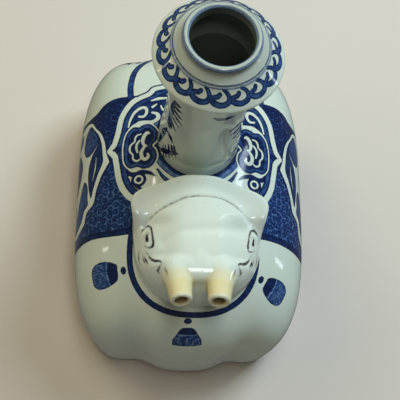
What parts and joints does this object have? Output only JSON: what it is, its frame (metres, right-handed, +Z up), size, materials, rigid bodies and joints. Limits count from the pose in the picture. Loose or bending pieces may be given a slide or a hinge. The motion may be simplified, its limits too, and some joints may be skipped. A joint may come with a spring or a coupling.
{
  "type": "kendi",
  "caption": "Squat elephant-shaped porcelain kendi, filled through the flanged neck on its back and poured through its bored tusks.",
  "frame": {"origin": "on the table, under the middle of the body", "axes": "+Z up and the elephant faces -Y; left and right are as a viewer in front sees them, so +X is right"},
  "size_m": [0.132, 0.19, 0.1916],
  "materials": {
    "biscuit": "unglazed fired porcelain clay",
    "painted_glaze": "clear glaze over cobalt painting",
    "plain_glaze": "clear bluish-white glaze",
    "ivory_glaze": "ivory-coloured glaze"
  },
  "bodies": {
    "root": {"base_slab": "biscuit", "body_left": "painted_glaze", "body_right": "painted_glaze", "neck_tube": "painted_glaze", "mouth_flange": "painted_glaze", "mouth_lip": "plain_glaze", "head_left": "plain_glaze", "head_right": "plain_glaze", "ear_left": "plain_glaze", "ear_right": "plain_glaze", "tusk_left": "ivory_glaze", "tusk_right": "ivory_glaze", "trunk": "plain_glaze", "tail": "plain_glaze"}
  },
  "joints": []
}
